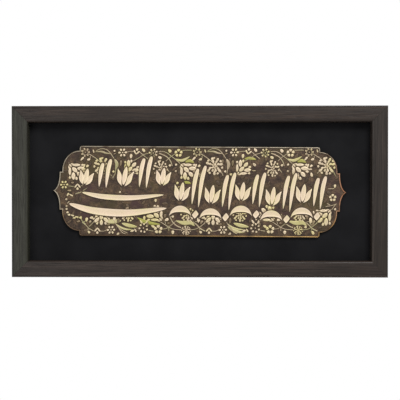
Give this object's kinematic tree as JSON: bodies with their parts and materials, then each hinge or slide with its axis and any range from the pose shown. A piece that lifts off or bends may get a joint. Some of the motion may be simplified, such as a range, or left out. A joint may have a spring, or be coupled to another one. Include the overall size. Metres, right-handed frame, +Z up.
{
  "type": "calligraphy wall panel",
  "caption": "Framed wall panel: a dark wooden shadow-box frame round a black board that carries a cast brass relief plaque with a floral scroll under a band of bold strokes.",
  "frame": {"origin": "centre of the flat back of the backing board, on the wall plane", "axes": "+X to the viewer's right along the panel, +Y into the wall, +Z up; the front faces -Y"},
  "size_m": [0.75, 0.034, 0.342],
  "materials": {
    "dark_wood": "straight-grained dark brown wood, satin, with fine streaks along each length",
    "black_board": "matt black painted fibreboard, plain brown at the back",
    "antique_brass": "antique cast brass: dark brown stippled ground, rubbed pale straw and ivory on the raised tops"
  },
  "bodies": {
    "root": {"frame_top_rail": "dark_wood", "frame_right_stile": "dark_wood", "frame_bottom_rail": "dark_wood", "frame_left_stile": "dark_wood", "backing_board": "black_board", "plaque": "antique_brass"}
  },
  "joints": []
}
